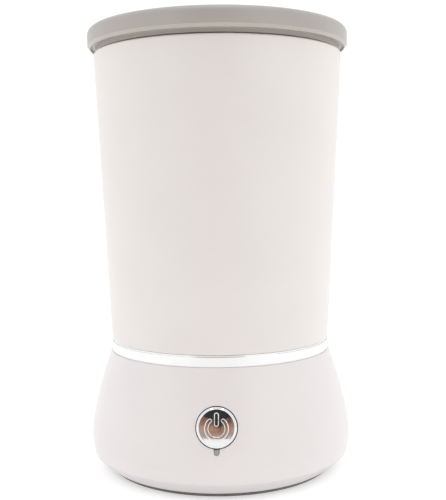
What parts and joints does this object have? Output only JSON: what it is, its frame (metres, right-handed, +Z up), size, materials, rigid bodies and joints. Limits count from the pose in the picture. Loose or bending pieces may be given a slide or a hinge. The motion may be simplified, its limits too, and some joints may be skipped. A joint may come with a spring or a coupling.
{
  "type": "milk frother",
  "caption": "Free-standing electric milk frother: steel pot in a conical white body, grey lift-off lid, metal trim ring, flared base with a push button, and a whisk turned by magnets.",
  "frame": {"origin": "on the floor, in the middle of the foot ring", "axes": "+Z up along the pot's axis, -Y out of the side with the push button, +X to the right of someone facing the button"},
  "size_m": [0.1082, 0.1082, 0.179],
  "materials": {
    "white_shell": "smooth satin moulding",
    "grey_lid": "smooth satin moulding",
    "chrome_trim": "polished plate",
    "button_chrome": "mirror plate on plastic",
    "pot_steel": "drawn stainless steel, polished rim",
    "spring_steel": "bright wire",
    "screw_steel": "zinc plated",
    "dark_plastic": "fine-textured moulding",
    "foot_rubber": "matte",
    "seal_silicone": "matte translucent silicone",
    "lens_clear": "frosted light pipe",
    "brass_contact": "bright",
    "circuit_board": "glass-fibre board with lacquer",
    "ceramic_cream": "plain",
    "magnet_nickel": "nickel plated",
    "heater_aluminium": "cast",
    "red_plastic": "plain",
    "blue_plastic": "plain"
  },
  "bodies": {
    "housing": {"base_shell": "white_shell", "body_shell": "white_shell", "bottom_cover": "dark_plastic", "bottom_screw_1": "screw_steel", "bottom_screw_2": "screw_steel", "bottom_screw_3": "screw_steel", "button_spring": "spring_steel", "control_board": "circuit_board", "filter_capacitor": "red_plastic", "foot_ring": "foot_rubber", "frame_screw_1": "screw_steel", "frame_screw_2": "screw_steel", "frame_screw_3": "screw_steel", "fuse_clip": "spring_steel", "heater_plate": "heater_aluminium", "heater_terminal_a": "brass_contact", "heater_terminal_b": "brass_contact", "indicator_led": "ceramic_cream", "indicator_lens": "lens_clear", "inlet_centre_contact": "brass_contact", "inlet_connector_body": "dark_plastic", "inlet_earth_ring": "brass_contact", "inlet_live_ring": "brass_contact", "inner_pot": "pot_steel", "key_board": "circuit_board", "key_board_screw_1": "screw_steel", "key_board_screw_2": "screw_steel", "motor_can": "pot_steel", "motor_damper": "foot_rubber", "motor_end_cap": "dark_plastic", "motor_frame": "dark_plastic", "motor_lead_a": "dark_plastic", "motor_lead_b": "red_plastic", "motor_screw_1": "screw_steel", "motor_screw_2": "screw_steel", "pot_bottom": "pot_steel", "relay": "blue_plastic", "rim_seal": "foot_rubber", "supply_lead_live": "red_plastic", "supply_lead_neutral": "blue_plastic", "tact_switch_body": "dark_plastic", "thermal_fuse": "ceramic_cream", "thermistor": "brass_contact", "transformer": "ceramic_cream", "trim_ring": "chrome_trim", "whisk_spindle": "pot_steel"},
    "lid": {"lid_cap": "grey_lid", "lid_plug": "grey_lid", "lid_gasket": "seal_silicone"},
    "button": {"power_button": "button_chrome"},
    "switch_plunger": {"tact_switch_plunger": "red_plastic"},
    "rotor": {"motor_shaft": "spring_steel", "magnet_carrier": "dark_plastic", "drive_magnet_a": "magnet_nickel", "drive_magnet_b": "magnet_nickel"},
    "whisk": {"whisk_hub": "dark_plastic", "whisk_coil": "spring_steel", "whisk_magnet_a": "magnet_nickel", "whisk_magnet_b": "magnet_nickel"}
  },
  "joints": [
    {"name": "lid_lift", "type": "slide", "parent": "housing", "child": "lid", "axis": [0, 0, 1], "range_m": [0, 0.07]},
    {"name": "button_press", "type": "slide", "parent": "housing", "child": "button", "axis": [0, 0.9721, -0.2346], "range_m": [0, 0.0012], "stiffness_N_per_m": 600, "springref_m": -0.001, "deforming": ["button_spring"]},
    {"name": "plunger_press", "type": "slide", "parent": "housing", "child": "switch_plunger", "axis": [0, 0.9721, -0.2346], "range_m": [0, 0.0006]},
    {"name": "rotor_turn", "type": "hinge", "parent": "housing", "child": "rotor", "pos_m": [0, 0, 0.04], "axis": [0, 0, 1], "continuous": true},
    {"name": "whisk_turn", "type": "hinge", "parent": "housing", "child": "whisk", "pos_m": [0, 0, 0.064], "axis": [0, 0, 1], "continuous": true}
  ],
  "couplings": [
    {"joint": "plunger_press", "follows": "button_press", "ratio": 0.5},
    {"joint": "whisk_turn", "follows": "rotor_turn", "ratio": 1}
  ]
}
